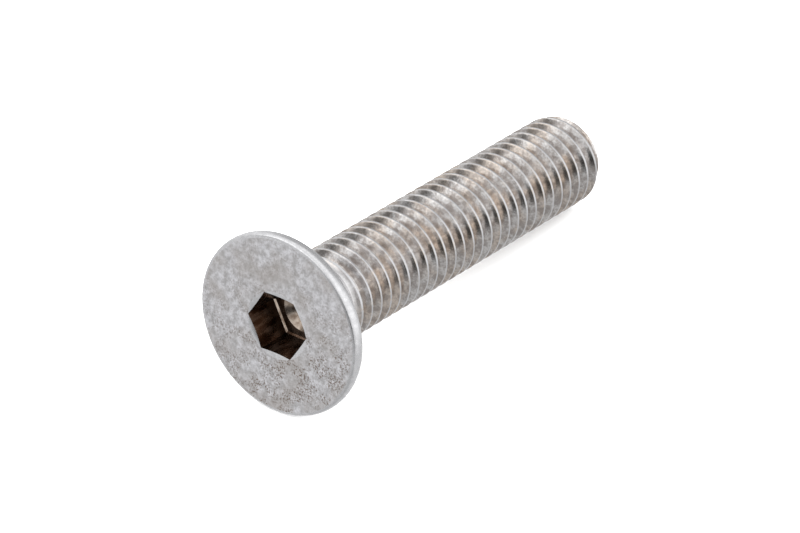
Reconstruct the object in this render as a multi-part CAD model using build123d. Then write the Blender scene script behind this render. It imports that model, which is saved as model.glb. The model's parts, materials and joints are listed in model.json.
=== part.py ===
from build123d import *
import math
import os

# Countersunk socket screw, M8 x 40, stainless steel, threaded over its whole shank.
# Millimetres, +Z up. It lies on its side along Y, with its head towards -Y. Its head's rim and
# its thread carry it, so its tip points slightly down, and the origin is on the surface below it.
# The thread is an envelope here: the shank has the full diameter over the crests.

# Whole screw
overall_length = 39.6          # flat top face to the end of the point

# Head
head_diameter = 15.48          # over the rim
rim_round_width = 0.23         # rounded edge of the rim, inwards to the flat top face
rim_round_depth = 0.30         # the same edge, down to where the rim has its full diameter
rim_thickness = 0.93           # from the face to the seat
rim_corner_radius = 0.25       # between the rim and the seat
seat_angle = 90.0              # the countersunk seat, included angle

# Hexagon socket
key_width = 5.04               # across flats
socket_depth = 3.40            # face to the flat part of the floor
floor_chamfer = 0.13           # between the socket's walls and its floor
mouth_slope = 18.0             # degrees that the cone which opens it falls from the flat face
corner_left = 0.01             # how far the hexagon's corners reach past that cone
drill_diameter = 3.80          # drilled hole whose point is left in the floor
drill_angle = 120.0            # included angle of that point

# Shank
thread_diameter = 7.85         # over the crests
crest_height = 0.375           # of the crests above the blank that the thread is rolled on
neck_fillet_radius = 1.20      # seat to neck
neck_length = 0.10             # plain stretch past that fillet
crest_run_in = 0.80            # length over which the crests grow out of the neck

# Point
point_length = 1.30            # rounded stretch before the flat end
point_drop = 0.525             # from the crests in to the flat end's edge

head_radius = head_diameter / 2
face_radius = head_radius - rim_round_width
thread_radius = thread_diameter / 2
neck_radius = thread_radius - crest_height

seat_slope = math.tan(math.radians(seat_angle / 2))
neck_start = rim_thickness + (head_radius - neck_radius) / seat_slope
neck_bend = math.radians(seat_angle / 2)
neck_end = neck_start + neck_fillet_radius * math.tan(neck_bend / 2) + neck_length
thread_start = neck_end + crest_run_in
point_start = overall_length - point_length


def section_point(radius, along):
    """A point of the lengthwise section, from its radius and its distance behind the face."""
    return (radius, 0, along)


def make_blank():
    """The headed screw without its socket, turned about its axis from one outline."""
    top = Line(section_point(0, 0), section_point(face_radius, 0))
    rim = TangentArc(section_point(head_radius, rim_round_depth), top @ 1, tangent=(0, 0, -1))
    under_head = FilletPolyline(
        rim @ 0,
        section_point(head_radius, rim_thickness),
        section_point(neck_radius, neck_start),
        section_point(neck_radius, neck_end),
        radius=[rim_corner_radius, neck_fillet_radius],
    )
    shank = Polyline(
        under_head @ 1,
        section_point(thread_radius, thread_start),
        section_point(thread_radius, point_start),
    )
    point_edge = section_point(thread_radius - point_drop, overall_length)
    point = TangentArc(shank @ 1, point_edge, tangent=(0, 0, 1))
    end = Polyline(point @ 1, section_point(0, overall_length), top @ 0)
    outline = top + rim + under_head + shank + point + end
    return revolve(make_face(outline), axis=Axis.Z)


def make_socket():
    """What is cut from the head: the hexagon, its opening cone and the drilled point."""
    hexagon = RegularPolygon(key_width / 2, 6, major_radius=False, rotation=90)
    walls = extrude(hexagon, socket_depth)
    walls = chamfer(walls.faces().sort_by(Axis.Z)[-1].edges(), floor_chamfer)
    corner_radius = key_width / math.sqrt(3)
    mouth_radius = corner_radius - corner_left
    mouth_depth = mouth_radius * math.tan(math.radians(mouth_slope))
    mouth = Cone(mouth_radius, 0, mouth_depth, align=(Align.CENTER, Align.CENTER, Align.MIN))
    drill_radius = drill_diameter / 2
    drill_depth = drill_radius / math.tan(math.radians(drill_angle / 2))
    drill = Cone(drill_radius, 0, drill_depth, align=(Align.CENTER, Align.CENTER, Align.MIN))
    return walls + mouth + Pos(0, 0, socket_depth) * drill


def lie_down(screw):
    """Lays the screw on its rim and its thread, centred over the origin."""
    drop = head_radius - thread_radius
    lean = math.atan2(drop, point_start - rim_thickness)
    lying = Plane(
        origin=(0, 0, 0),
        x_dir=(0, math.sin(lean), math.cos(lean)),
        z_dir=(0, math.cos(lean), -math.sin(lean)),
    ).location * screw
    box = lying.bounding_box()
    middle = box.center()
    return Pos(-middle.X, -middle.Y, -box.min.Z) * lying


screw = lie_down(make_blank() - make_socket())

os.makedirs("parts", exist_ok=True)
export_step(screw, "parts/socket_screw.step")
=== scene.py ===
import json
import math

import bmesh
import bpy
from mathutils import Matrix, Vector


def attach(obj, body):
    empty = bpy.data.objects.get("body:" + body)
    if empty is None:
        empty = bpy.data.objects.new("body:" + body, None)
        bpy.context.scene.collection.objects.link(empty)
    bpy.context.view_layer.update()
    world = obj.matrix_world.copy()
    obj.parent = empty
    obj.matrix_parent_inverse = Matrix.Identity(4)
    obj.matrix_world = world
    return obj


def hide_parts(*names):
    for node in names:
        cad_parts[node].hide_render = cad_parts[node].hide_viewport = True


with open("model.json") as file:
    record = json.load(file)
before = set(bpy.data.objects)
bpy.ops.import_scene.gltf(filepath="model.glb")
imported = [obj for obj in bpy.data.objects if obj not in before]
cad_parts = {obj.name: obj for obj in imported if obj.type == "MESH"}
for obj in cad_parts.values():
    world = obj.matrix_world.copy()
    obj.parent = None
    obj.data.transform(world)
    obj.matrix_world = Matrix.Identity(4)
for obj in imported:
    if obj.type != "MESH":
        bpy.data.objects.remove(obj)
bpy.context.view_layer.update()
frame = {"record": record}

# A stainless countersunk socket screw, M8 x 40, lying on its side.
# The screw is shaped upright in its own frame, in millimetres: +Z runs from the flat top face to
# the tip, +X is the side that ends up on top, and +Y is the part's +X. lay_down() then puts it in
# place, in metres.

MM = 0.001
SPOKES = 96                    # in a full turn, a multiple of 6 for the hexagon
DOUBLES = 0.001                # vertices this near are one
NEAR = 0.01                    # what counts as lying in a plane
SHARP = math.radians(28)       # edges that turn more than this aren't smoothed over


def record_mount(name):
    return next(mount for mount in frame["record"]["mounts"] if mount["name"] == name)


TOP_FACE = Vector(record_mount("top_face")["pos_m"])
SCREW_AXIS = -Vector(record_mount("top_face")["axis"]).normalized()

# Head
HEAD_RADIUS = 7.74
RIM_WIDTH = 0.23               # rounded edge, inwards to the flat face
RIM_BULGE = 0.48               # from the face to the widest ring of the bulging rim
UNDER_WIDTH = 0.20             # from the widest ring, inwards to the seat
UNDER_DEPTH = 0.62             # and down to it
RIM_THICKNESS = 0.93           # from the face to the seat's sharp corner, were it not rounded
SHOULDER_WIDTH = 0.10          # slight slope between the flat face and the rounded edge
SHOULDER_DROP = 0.045
SHOULDER_GUARD = 0.03          # flat ring that keeps the slope out of the face's shading
RIM_STEPS = 12
UNDER_STEPS = 8
FACE_RINGS = (7.0, 6.3, 5.6, 4.9, 4.3, 3.8, 3.4, 3.1)
SEAT_RINGS = (3.0, 2.0, 1.5)   # distances behind the face

# Hexagon socket
KEY_APOTHEM = 2.52
SOCKET_DEPTH = 3.40
FLOOR_CHAMFER = 0.13
MOUTH_RADIUS = 2.90            # of the shallow cone that opens the socket
MOUTH_SLOPE = math.radians(18)
DRILL_RADIUS = 1.90
DRILL_HALF_ANGLE = math.radians(60)
PUNCH_STREAK = 0.3             # width over length of the punch's streaks
WALL_RINGS = (0.45, 0.9, 1.5, 2.2, 2.8)
DRILL_RINGS = (1.4, 0.9, 0.45, 0.15, 0)
LIP = 0.02                     # strip of wall under the mouth that has the mouth's finish

# Thread
PITCH = 1.25
CREST_RADIUS = record_mount("thread")["dims"]["r_mm"]
ROOT_RADIUS = 3.235
PITCH_RADIUS = 3.55            # where thread and groove are equally wide
ROOT_ROUND = 0.20
CREST_ROUND = 0.09
ROUND_STEPS = 3
FLANK_RINGS = (0.3, 0.8)       # shares of the thread's height
FLANK_SLOPE = math.tan(math.radians(30))
FIRST_CREST = 1.995            # from the face to the first crest straight up, cut away in the head
THREAD_TURNS = 30

# Neck and point
NECK_RADIUS = 3.55
NECK_ROUND = 1.20
NECK_START = RIM_THICKNESS + HEAD_RADIUS - NECK_RADIUS
NECK_BEND = math.radians(45)   # from the seat's slope to the neck
JOIN = 4.00                    # where the head's half of the mesh meets the shank's
JOIN_GAP = 0.05
FADE_START = 5.00              # where the thread starts to grow out of the neck
FADE_END = 6.30                # where it has its full height
OVERALL_LENGTH = 39.60
POINT_LENGTH = 1.30
POINT_DROP = 0.525


# ---------------------------------------------------------------- outlines

def rounded(corners):
    """An outline of (radius, along) points through (radius, along, rounding) corners."""
    points = []
    for index, (radius, along, rounding) in enumerate(corners):
        corner = Vector((radius, along))
        if rounding == 0:
            points.append(corner)
            continue
        to_last = (Vector(corners[index - 1][:2]) - corner).normalized()
        to_next = (Vector(corners[index + 1][:2]) - corner).normalized()
        half = to_last.angle(to_next) / 2
        middle = corner + (to_last + to_next).normalized() * rounding / math.sin(half)
        first = corner + to_last * rounding / math.tan(half) - middle
        last = corner + to_next * rounding / math.tan(half) - middle
        for step in range(ROUND_STEPS + 1):
            points.append(middle + rounding * first.slerp(last, step / ROUND_STEPS))
    return points


def head_outline():
    """The turned outside of the head, from the seat over the rim to the socket's mouth."""
    seat = [
        (HEAD_RADIUS + RIM_THICKNESS - along, along) for along in (JOIN - JOIN_GAP, *SEAT_RINGS)
    ]
    under = []
    for step in range(UNDER_STEPS, 0, -1):
        turn = math.atan2(UNDER_DEPTH, UNDER_WIDTH) * step / UNDER_STEPS
        under.append((
            HEAD_RADIUS - UNDER_WIDTH * (1 - math.cos(turn)),
            RIM_BULGE + UNDER_DEPTH * math.sin(turn),
        ))
    over = []
    for step in range(RIM_STEPS + 1):
        turn = math.pi / 2 * step / RIM_STEPS
        over.append((
            HEAD_RADIUS - RIM_WIDTH * (1 - math.cos(turn)),
            RIM_BULGE - (RIM_BULGE - SHOULDER_DROP) * math.sin(turn),
        ))
    shoulder = HEAD_RADIUS - RIM_WIDTH - SHOULDER_WIDTH
    rings = (shoulder, shoulder - SHOULDER_GUARD, *FACE_RINGS, MOUTH_RADIUS)
    return seat + under + over + [(radius, 0) for radius in rings]


def socket_outline():
    """The socket's walls at the middle of a flat, from the lip to the floor's edge."""
    rings = (0, *WALL_RINGS, SOCKET_DEPTH - FLOOR_CHAMFER)
    return [(KEY_APOTHEM, depth) for depth in rings] + [(KEY_APOTHEM - FLOOR_CHAMFER, SOCKET_DEPTH)]


def drill_outline():
    """The point of the drilled hole, from its edge in the floor to its tip."""
    return [
        (radius, SOCKET_DEPTH + (DRILL_RADIUS - radius) / math.tan(DRILL_HALF_ANGLE))
        for radius in (DRILL_RADIUS, *DRILL_RINGS)
    ]


def thread_outline():
    """One pitch of the thread, from root to root."""
    crest_edge = PITCH / 4 + (CREST_RADIUS - PITCH_RADIUS) * FLANK_SLOPE
    root_edge = PITCH / 4 - (PITCH_RADIUS - ROOT_RADIUS) * FLANK_SLOPE
    corners = [(ROOT_RADIUS, 0, 0), (ROOT_RADIUS, root_edge, ROOT_ROUND)]
    for share in FLANK_RINGS:
        radius = ROOT_RADIUS + share * (CREST_RADIUS - ROOT_RADIUS)
        corners.append((radius, root_edge + share * (crest_edge - root_edge), 0))
    corners.append((CREST_RADIUS, crest_edge, CREST_ROUND))
    mirrored = [(radius, PITCH - along, rounding) for radius, along, rounding in corners[::-1]]
    return rounded(corners + [(CREST_RADIUS, PITCH / 2, 0)] + mirrored)


# ---------------------------------------------------------------- mesh

def smooth_step(value, low, high):
    share = min(max((value - low) / (high - low), 0), 1)
    return share * share * (3 - 2 * share)


def spin_outline(bm, outline, rise=0.0, hexagonal=slice(0)):
    """Turns an outline once about the screw's axis, climbing by rise, and marks a slice of it."""
    verts = [bm.verts.new((radius, 0, along)) for radius, along in outline]
    mark = bm.verts.layers.float["hexagon"]
    for vert in verts[hexagonal]:
        vert[mark] = 1.0
    edges = [bm.edges.new(pair) for pair in zip(verts, verts[1:])]
    bmesh.ops.spin(
        bm, geom=verts + edges, cent=(0, 0, 0), axis=(0, 0, 1),
        dvec=(0, 0, rise / SPOKES), angle=2 * math.pi, steps=SPOKES, use_merge=rise == 0,
    )


def shape_hexagon(bm):
    """Draws the rings of the socket out from its flats to its corners."""
    mark = bm.verts.layers.float["hexagon"]
    sector = math.radians(60)
    for vert in bm.verts:
        if vert[mark] < 0.5:
            continue
        turn = math.atan2(vert.co.y, vert.co.x)
        from_flat = (turn + sector / 2) % sector - sector / 2
        vert.co.xy = vert.co.xy / math.cos(from_flat)
        if vert.co.z < NEAR:
            vert.co.z = max(MOUTH_RADIUS - vert.co.xy.length, 0) * math.tan(MOUTH_SLOPE)


def neck_radius(along):
    """Radius of the plain blank under the head: seat, fillet, then neck."""
    reach = NECK_ROUND * math.tan(NECK_BEND / 2)
    if along < NECK_START - reach * math.cos(NECK_BEND):
        return NECK_RADIUS + NECK_START - along
    if along > NECK_START + reach:
        return NECK_RADIUS
    across = NECK_START + reach - along
    return NECK_RADIUS + NECK_ROUND - math.sqrt(NECK_ROUND ** 2 - across ** 2)


def point_radius(along):
    """Radius of the rounded point, which cuts the last crests away."""
    bend = (POINT_LENGTH ** 2 + POINT_DROP ** 2) / (2 * POINT_DROP)
    past = min(max(along - (OVERALL_LENGTH - POINT_LENGTH), 0), bend)
    return CREST_RADIUS - bend + math.sqrt(bend ** 2 - past ** 2)


def shape_shank(bm):
    """Fades the thread out into the neck and cuts it down at the point."""
    height = bm.verts.layers.float["thread_height"]
    for vert in bm.verts:
        along = vert.co.z
        radius = vert.co.xy.length
        vert[height] = (radius - ROOT_RADIUS) / (CREST_RADIUS - ROOT_RADIUS)
        grown = smooth_step(along, FADE_START, FADE_END)
        new_radius = neck_radius(along) + (radius - PITCH_RADIUS) * grown
        new_radius = min(new_radius, point_radius(along))
        vert.co.xy = vert.co.xy * new_radius / radius


def cut(bm, along, keep_above):
    """Cuts the shank square at a distance behind the face."""
    bmesh.ops.bisect_plane(
        bm, geom=bm.verts[:] + bm.edges[:] + bm.faces[:], dist=1e-6,
        plane_co=(0, 0, along), plane_no=(0, 0, 1),
        clear_inner=keep_above, clear_outer=not keep_above,
    )


def open_edges(bm, low, high):
    """The open edges between two distances behind the face."""
    return [
        edge for edge in bm.edges
        if edge.is_boundary and all(low < vert.co.z < high for vert in edge.verts)
    ]


FACE, RIM, THREAD, SOCKET, DRILL = range(5)


def region(middle):
    """Which finish a face has, by where its middle is."""
    radius, along = middle.xy.length, middle.z
    if radius < MOUTH_RADIUS:
        if along > SOCKET_DEPTH - FLOOR_CHAMFER:
            return DRILL       # the socket's floor, the drill point and the screw's cut end
        mouth = (MOUTH_RADIUS - radius) * math.tan(MOUTH_SLOPE)
        return SOCKET if along > mouth + LIP else RIM
    if along < NEAR and radius < HEAD_RADIUS - RIM_WIDTH - SHOULDER_WIDTH:
        return FACE
    return RIM if along < FADE_START else THREAD


def lay_down():
    """From the screw's own millimetres to its place on the floor in metres."""
    across = Vector((1, 0, 0))
    up = across.cross(SCREW_AXIS)
    turn = Matrix((up, across, SCREW_AXIS)).transposed().to_4x4()
    return Matrix.Translation(TOP_FACE) @ turn @ Matrix.Scale(MM, 4)


def make_screw():
    """The screw as one closed mesh: thread, neck and point, joined to head and socket."""
    bm = bmesh.new()
    bm.verts.layers.float.new("hexagon")
    bm.verts.layers.float.new("thread_height")

    first_root = FIRST_CREST + PITCH / 2
    spin_outline(bm, [(radius, first_root + along) for radius, along in thread_outline()], PITCH)
    turn = bm.verts[:] + bm.edges[:] + bm.faces[:]
    for number in range(1, THREAD_TURNS):
        copied = bmesh.ops.duplicate(bm, geom=turn)["geom"]
        verts = [item for item in copied if isinstance(item, bmesh.types.BMVert)]
        bmesh.ops.translate(bm, verts=verts, vec=(0, 0, number * PITCH))
    bmesh.ops.remove_doubles(bm, verts=bm.verts, dist=DOUBLES)
    shape_shank(bm)
    cut(bm, JOIN, keep_above=True)
    cut(bm, OVERALL_LENGTH, keep_above=False)
    end = open_edges(bm, OVERALL_LENGTH - NEAR, OVERALL_LENGTH + NEAR)
    bmesh.ops.holes_fill(bm, edges=end, sides=0)

    outside, socket, drill = head_outline(), socket_outline(), drill_outline()
    hexagonal = slice(len(outside), len(outside) + len(socket))
    spin_outline(bm, outside + socket + drill, hexagonal=hexagonal)
    shape_hexagon(bm)
    bmesh.ops.remove_doubles(bm, verts=bm.verts, dist=DOUBLES)
    bmesh.ops.bridge_loops(bm, edges=open_edges(bm, JOIN - 2 * JOIN_GAP, JOIN + JOIN_GAP))
    bmesh.ops.recalc_face_normals(bm, faces=bm.faces)

    for face in bm.faces:
        face.smooth = True
        face.material_index = region(face.calc_center_median())
    for edge in bm.edges:
        edge.smooth = len(edge.link_faces) == 2 and edge.calc_face_angle() < SHARP
    print("open edges", sum(len(edge.link_faces) != 2 for edge in bm.edges))

    bmesh.ops.transform(bm, matrix=lay_down(), verts=bm.verts)
    mesh = bpy.data.meshes.new("screw")
    bm.to_mesh(mesh)
    bm.free()
    screw = bpy.data.objects.new("screw", mesh)
    bpy.context.scene.collection.objects.link(screw)
    return screw


# ---------------------------------------------------------------- materials

MULTIPLY = {"operation": "MULTIPLY"}
COLOURS = {"data_type": "RGBA"}                     # mixes its inputs 6 and 7 by input 0
NUMBERS = {"data_type": "FLOAT"}                    # mixes its inputs 2 and 3 by input 0
SMOOTH = {"interpolation_type": "SMOOTHSTEP"}


def linear(hex_colour):
    """An sRGB hex colour as linear RGBA."""
    channels = [int(hex_colour[i:i + 2], 16) / 255 for i in (1, 3, 5)]
    return (*[c / 12.92 if c <= 0.04045 else ((c + 0.055) / 1.055) ** 2.4 for c in channels], 1)


def add(tree, kind, settings=None, **inputs):
    """Adds a node and returns the output in use. An input is a value, or an output to link."""
    node = tree.nodes.new(kind)
    for name, value in (settings or {}).items():
        setattr(node, name, value)
    for name, value in inputs.items():
        by_number = name.startswith("_")
        socket = node.inputs[int(name[1:]) if by_number else name.replace("_", " ")]
        if isinstance(value, bpy.types.NodeSocket):
            tree.links.new(value, socket)
        else:
            socket.default_value = value
    return next(output for output in node.outputs if output.enabled)


def material(name, metallic=1.0):
    """A new material, its node tree and its shader."""
    made = bpy.data.materials.new(name)
    made.use_nodes = True
    shader = made.node_tree.nodes["Principled BSDF"]
    shader.inputs["Metallic"].default_value = metallic
    return made, made.node_tree, shader


def screw_coordinates(tree):
    """Coordinates in the screw's own frame and millimetres."""
    place = add(tree, "ShaderNodeTexCoord").node.outputs["Object"]
    turn = lay_down().inverted()
    return add(
        tree, "ShaderNodeMapping", Vector=place, Location=turn.translation,
        Rotation=turn.to_euler(), Scale=turn.to_scale(),
    )


def patches(tree, where, size_mm, detail=2.0, low=0.4, high=0.6, roughness=0.5):
    """Soft-edged patches of about a size, from 0 to 1."""
    cloud = add(
        tree, "ShaderNodeTexNoise", Vector=where, Scale=1 / size_mm, Detail=detail,
        Roughness=roughness,
    )
    return add(tree, "ShaderNodeMapRange", SMOOTH, Value=cloud, From_Min=low, From_Max=high)


def roughen(tree, shader, where, size_mm, depth_mm, detail=3.0):
    """Fine dents of about a size and a depth, drawn as coarse as they need to be to show."""
    grain = add(tree, "ShaderNodeTexNoise", Vector=where, Scale=1 / size_mm, Detail=detail)
    dents = add(tree, "ShaderNodeBump", Height=grain, Distance=depth_mm * MM)
    tree.links.new(dents, shader.inputs["Normal"])


def tumbled_face():
    """Upset and tumbled stainless steel: dull, pale grey, with fine brown-grey staining."""
    made, tree, shader = material("tumbled_stainless")
    where = screw_coordinates(tree)
    parts = add(tree, "ShaderNodeSeparateXYZ", _0=where).node.outputs
    haze = patches(tree, where, size_mm=0.55, detail=5.0, low=0.32, high=0.68, roughness=0.7)
    cloud = patches(tree, where, size_mm=3.0, detail=3.0, low=0.38, high=0.68)
    speckle = patches(tree, where, size_mm=0.17, detail=3.0, low=0.47, high=0.61, roughness=0.7)
    cluster = patches(tree, where, size_mm=1.7, detail=4.0, low=0.42, high=0.57, roughness=0.6)
    metal = add(
        tree, "ShaderNodeMix", COLOURS, _0=haze, _6=linear("#B2B1B2"), _7=linear("#E2E2E6")
    )
    dulled = add(tree, "ShaderNodeMath", MULTIPLY, _0=cloud, _1=0.55)
    metal = add(tree, "ShaderNodeMix", COLOURS, _0=dulled, _6=metal, _7=linear("#AEA8A3"))

    # The staining is gathered in clusters, most of them low on the face and to the right.
    spread = add(tree, "ShaderNodeMapRange", SMOOTH, Value=cluster, To_Min=0.15)
    low_down = add(
        tree, "ShaderNodeMapRange", SMOOTH, Value=parts["X"],
        From_Min=5.0, From_Max=-3.0, To_Min=0.30, To_Max=1.0,
    )
    sideways = add(
        tree, "ShaderNodeMapRange", SMOOTH, Value=parts["Y"],
        From_Min=-7.0, From_Max=0.0, To_Min=0.55, To_Max=1.0,
    )
    stain = speckle
    for share in (spread, low_down, sideways):
        stain = add(tree, "ShaderNodeMath", MULTIPLY, _0=stain, _1=share)
    metal = add(tree, "ShaderNodeMix", COLOURS, _0=stain, _6=metal, _7=linear("#7B6D63"))
    tree.links.new(metal, shader.inputs["Base Color"])

    dullness = add(tree, "ShaderNodeMapRange", Value=haze, To_Min=0.52, To_Max=0.42)
    tree.links.new(dullness, shader.inputs["Roughness"])
    roughen(tree, shader, where, size_mm=0.09, depth_mm=0.010)
    return made


def smooth_rim():
    """The rim, seat and neck: stainless steel smoothed by the die, brighter than the face."""
    made, tree, shader = material("smooth_stainless")
    where = screw_coordinates(tree)
    haze = patches(tree, where, size_mm=0.35, detail=4.0, low=0.30, high=0.70, roughness=0.6)
    metal = add(
        tree, "ShaderNodeMix", COLOURS, _0=haze, _6=linear("#C6C6C8"), _7=linear("#DADADC")
    )
    tree.links.new(metal, shader.inputs["Base Color"])
    dullness = add(tree, "ShaderNodeMapRange", Value=haze, To_Min=0.32, To_Max=0.22)
    tree.links.new(dullness, shader.inputs["Roughness"])
    roughen(tree, shader, where, size_mm=0.12, depth_mm=0.004, detail=2.0)
    return made


def rolled_thread():
    """Rolled stainless thread: bright burnished crests, flanks stained brown by the rolling oil."""
    made, tree, shader = material("rolled_stainless")
    where = screw_coordinates(tree)
    crest_mark = add(tree, "ShaderNodeAttribute", {"attribute_name": "thread_height"})
    height = crest_mark.node.outputs["Fac"]
    along = add(tree, "ShaderNodeSeparateXYZ", _0=where).node.outputs["Z"]
    warm = patches(tree, where, size_mm=2.2, detail=2.0, low=0.40, high=0.62)
    blotch = patches(tree, where, size_mm=0.7, detail=4.0, low=0.42, high=0.62, roughness=0.6)
    fine = patches(tree, where, size_mm=0.2, detail=3.0, low=0.40, high=0.62, roughness=0.65)
    metal = add(
        tree, "ShaderNodeMix", COLOURS, _0=warm, _6=linear("#D9D7D6"), _7=linear("#D5CAC0")
    )
    blotch = add(tree, "ShaderNodeMath", MULTIPLY, _0=blotch, _1=0.65)
    metal = add(tree, "ShaderNodeMix", COLOURS, _0=blotch, _6=metal, _7=linear("#908680"))
    fine = add(tree, "ShaderNodeMath", MULTIPLY, _0=fine, _1=0.40)
    metal = add(tree, "ShaderNodeMix", COLOURS, _0=fine, _6=metal, _7=linear("#96918D"))

    # The neck is clean, and the thread's staining starts where the thread does.
    neck = add(
        tree, "ShaderNodeMapRange", SMOOTH, Value=along, From_Min=FADE_END, From_Max=FADE_START
    )
    metal = add(tree, "ShaderNodeMix", COLOURS, _0=neck, _6=metal, _7=linear("#D8D8DA"))

    # Rubbed crests, with nicks that the light misses.
    crest = add(tree, "ShaderNodeMapRange", SMOOTH, Value=height, From_Min=0.95, From_Max=0.999)
    nicks = patches(tree, where, size_mm=0.35, detail=2.0, low=0.36, high=0.50)
    nicks = add(tree, "ShaderNodeMapRange", Value=nicks, To_Min=0.35)
    crest = add(tree, "ShaderNodeMath", MULTIPLY, _0=crest, _1=nicks)
    metal = add(tree, "ShaderNodeMix", COLOURS, _0=crest, _6=metal, _7=linear("#C6C6C8"))
    tree.links.new(metal, shader.inputs["Base Color"])
    dullness = add(tree, "ShaderNodeMapRange", Value=crest, To_Min=0.20, To_Max=0.24)
    tree.links.new(dullness, shader.inputs["Roughness"])
    roughen(tree, shader, where, size_mm=0.15, depth_mm=0.006)
    return made


def punched_socket():
    """The punched socket: steel under dark brown oxide, darkened further by painted shade that
    grows towards the floor.
    """
    made, tree, shader = material("socket_scale_and_shade")
    where = screw_coordinates(tree)
    depth = add(tree, "ShaderNodeSeparateXYZ", _0=where).node.outputs["Z"]
    drawn = add(tree, "ShaderNodeVectorMath", MULTIPLY, _0=where, _1=(1, 1, PUNCH_STREAK))
    streak = patches(tree, drawn, size_mm=0.5, detail=3.0, low=0.35, high=0.70)
    scale_and_shade = add(
        tree, "ShaderNodeMix", COLOURS, _0=streak, _6=linear("#5C4233"), _7=linear("#A0897A")
    )
    # Painted shade: the walls get darker with depth, down to near black above the floor.
    painted_depth_shade = add(
        tree, "ShaderNodeMapRange", SMOOTH, Value=depth, From_Min=1.4, From_Max=2.9, To_Max=0.9
    )
    scale_and_shade = add(tree, "ShaderNodeMix", COLOURS, _0=painted_depth_shade, _6=scale_and_shade, _7=linear("#1A110C"))
    tree.links.new(scale_and_shade, shader.inputs["Base Color"])
    dullness = add(tree, "ShaderNodeMapRange", Value=streak, To_Min=0.22, To_Max=0.34)
    tree.links.new(dullness, shader.inputs["Roughness"])
    return made


def drilled_floor():
    """The socket's floor, the drill point and the tip's flat: cut steel under a thin brown film."""
    made, tree, shader = material("drilled_stainless")
    where = screw_coordinates(tree)
    film = patches(tree, where, size_mm=0.6, detail=3.0, low=0.35, high=0.65)
    metal = add(
        tree, "ShaderNodeMix", COLOURS, _0=film, _6=linear("#C2B4A7"), _7=linear("#857466")
    )
    tree.links.new(metal, shader.inputs["Base Color"])
    shader.inputs["Roughness"].default_value = 0.20
    return made


def matt_board():
    """The floor: a matt white board."""
    made, tree, shader = material("matt_white_board", metallic=0.0)
    shader.inputs["Base Color"].default_value = linear("#F2F2F2")
    shader.inputs["Roughness"].default_value = 0.9
    return made


# ---------------------------------------------------------------- studio

CAMERA_AZIMUTH = math.radians(36.79)
CAMERA_ELEVATION = math.radians(33.365)
CAMERA_DISTANCE = 0.39496
CAMERA_LENS = 226.24
AIM_RIGHT = 0.009662           # the view's centre, from the middle of the top face
AIM_UP = 0.004678
SENSOR_WIDTH = 36
CLIP_START = 0.01
FLOOR_HALF = 2.0


def add_camera():
    """The camera, which looks past the middle of the top face along the shank."""
    right = Vector((math.cos(CAMERA_AZIMUTH), math.sin(CAMERA_AZIMUTH), 0))
    level = Vector((-math.sin(CAMERA_AZIMUTH), math.cos(CAMERA_AZIMUTH), 0))
    down = Vector((0, 0, -1))
    forward = level * math.cos(CAMERA_ELEVATION) + down * math.sin(CAMERA_ELEVATION)
    up = right.cross(forward)
    camera = bpy.data.objects.new("camera", bpy.data.cameras.new("camera"))
    bpy.context.scene.collection.objects.link(camera)
    aim = TOP_FACE + AIM_RIGHT * right + AIM_UP * up
    turn = Matrix((right, up, -forward)).transposed().to_4x4()
    camera.matrix_world = Matrix.Translation(aim - CAMERA_DISTANCE * forward) @ turn
    camera.data.sensor_width = SENSOR_WIDTH
    camera.data.lens = CAMERA_LENS
    camera.data.clip_start = CLIP_START
    bpy.context.scene.camera = camera


def add_floor():
    """A plain floor. The metal mirrors the tent below the horizon instead of it."""
    bm = bmesh.new()
    bmesh.ops.create_grid(bm, x_segments=1, y_segments=1, size=FLOOR_HALF)
    mesh = bpy.data.meshes.new("floor")
    bm.to_mesh(mesh)
    bm.free()
    floor = bpy.data.objects.new("floor", mesh)
    bpy.context.scene.collection.objects.link(floor)
    mesh.materials.append(matt_board())
    floor.visible_glossy = False


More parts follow.
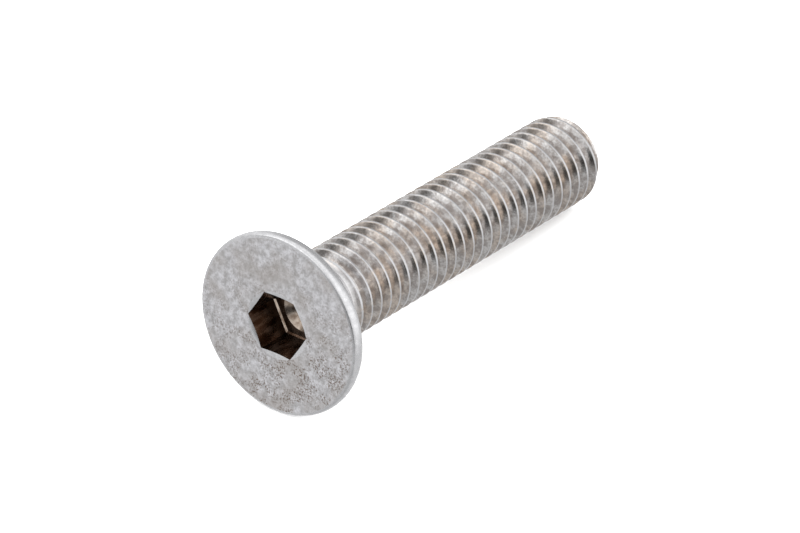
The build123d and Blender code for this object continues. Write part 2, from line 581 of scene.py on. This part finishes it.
# What the polished metal mirrors: a bright tent with gaps. Each entry is a direction (azimuth from
# +Y towards +X, elevation), its half width and half height, all in degrees, and its brightness.
TENT = 0.80
TENT_PATCHES = (
    (30, 68, 80, 24, 1.15),        # pale ceiling
    (60, 18, 33, 34, 1.35),        # main softbox, behind on the right
    (-135, 53, 34, 20, 1.5),       # second softbox, high in front on the left
    (160, -45, 30, 30, 0.58),      # the board's shaded front
    (-10, 20, 32, 26, 0.45),       # dark room past the board, behind
    (-138, 24, 9, 9, 0.10),        # gap beside the second softbox
    (163, -3, 28, 12, 0.02),       # dark room past the board, in front
)
FLOOR_LIGHT = 3.2                  # bright enough to burn the board out to white
EDGE = 0.45                        # share of a patch's half size over which it fades


def add_world():
    """An even white light, except that metal mirrors the tent."""
    world = bpy.data.worlds.new("studio")
    world.use_nodes = True
    tree = world.node_tree
    way = add(tree, "ShaderNodeTexCoord").node.outputs["Generated"]
    seen = TENT
    for azimuth, elevation, half_width, half_height, brightness in TENT_PATCHES:
        turned = add(
            tree, "ShaderNodeVectorRotate", {"rotation_type": "Z_AXIS"},
            Vector=way, Angle=math.radians(azimuth),
        )
        tipped = add(
            tree, "ShaderNodeVectorRotate", {"rotation_type": "X_AXIS"},
            Vector=turned, Angle=math.radians(-elevation),
        )
        parts = add(tree, "ShaderNodeSeparateXYZ", _0=tipped).node.outputs
        sideways = add(
            tree, "ShaderNodeMath", {"operation": "ARCTAN2"}, _0=parts["X"], _1=parts["Y"]
        )
        upwards = add(tree, "ShaderNodeMath", {"operation": "ARCSINE"}, _0=parts["Z"])
        share = 1.0
        for angle, half in ((sideways, half_width), (upwards, half_height)):
            off = add(tree, "ShaderNodeMath", {"operation": "ABSOLUTE"}, _0=angle)
            inside = add(
                tree, "ShaderNodeMapRange", SMOOTH, Value=off,
                From_Min=math.radians(half * (1 + EDGE)), From_Max=math.radians(half * (1 - EDGE)),
            )
            share = add(tree, "ShaderNodeMath", MULTIPLY, _0=inside, _1=share)
        seen = add(tree, "ShaderNodeMix", NUMBERS, _0=share, _2=seen, _3=brightness)
    mirrored = add(tree, "ShaderNodeLightPath").node.outputs["Is Glossy Ray"]
    strength = add(tree, "ShaderNodeMix", NUMBERS, _0=mirrored, _2=FLOOR_LIGHT, _3=seen)
    back = tree.nodes["Background"]
    back.inputs["Color"].default_value = (1, 1, 1, 1)
    tree.links.new(strength, back.inputs["Strength"])
    bpy.context.scene.world = world
    bpy.context.scene.view_settings.view_transform = "Standard"


screw = make_screw()
for finish in (tumbled_face(), smooth_rim(), rolled_thread(), punched_socket(), drilled_floor()):
    screw.data.materials.append(finish)
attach(screw, "root")
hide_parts("socket_screw")

add_floor()
add_world()
add_camera()
